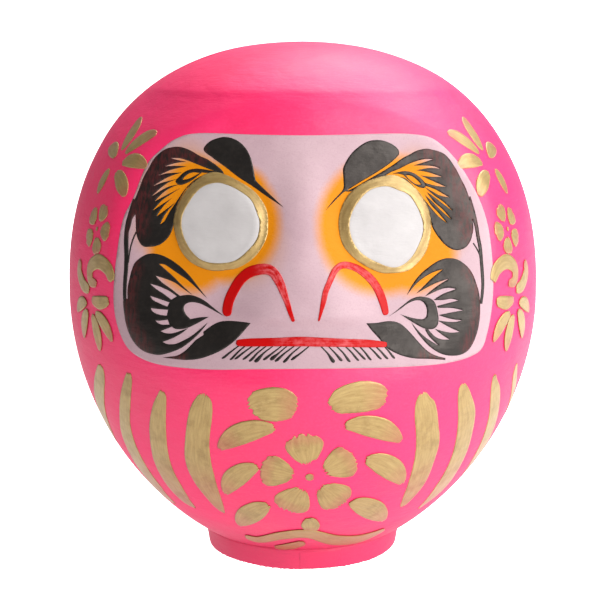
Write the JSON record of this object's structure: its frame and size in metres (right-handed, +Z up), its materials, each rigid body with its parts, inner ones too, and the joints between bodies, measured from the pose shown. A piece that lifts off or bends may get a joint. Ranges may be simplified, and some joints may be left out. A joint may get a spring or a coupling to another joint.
{
  "type": "daruma doll",
  "caption": "Round papier-mache good-luck doll on a weighted clay foot: blank ringed eyes, feathered brows and beard, gold brush ornament.",
  "frame": {"origin": "centre of the flat underside of the clay foot", "axes": "+Z up to the crown, -Y forward out of the face, +X to the viewer's right"},
  "size_m": [0.22, 0.2165, 0.24],
  "materials": {
    "pink_pulp": "matt pink paint over moulded paper pulp",
    "clay": "unglazed pressed clay",
    "glue": "dried hide glue",
    "face_paint": "matt pale pink paint with soft orange shading round the eyes",
    "eye_paint": "matt white ground paint",
    "gold_paint": "brushed metallic gold paint",
    "black_paint": "semi-gloss black brush paint",
    "red_paint": "thin red brush paint"
  },
  "bodies": {
    "root": {"front_shell": "pink_pulp", "back_shell": "pink_pulp", "seam_strip": "pink_pulp", "foot_wrap": "pink_pulp", "clay_base": "clay", "glue_ring": "glue", "face_panel": "face_paint", "eye_white_left": "eye_paint", "eye_white_right": "eye_paint", "eye_ring_left": "gold_paint", "eye_ring_right": "gold_paint", "brow_left": "black_paint", "brow_right": "black_paint", "cheek_beard_left": "black_paint", "cheek_beard_right": "black_paint", "moustache_left": "black_paint", "moustache_right": "black_paint", "nostril_left": "red_paint", "nostril_right": "red_paint", "mouth_line": "red_paint", "chin_whiskers": "black_paint", "gold_stripes_left": "gold_paint", "gold_stripes_right": "gold_paint", "gold_motif_front": "gold_paint", "gold_motif_left": "gold_paint", "gold_motif_right": "gold_paint"}
  },
  "joints": []
}
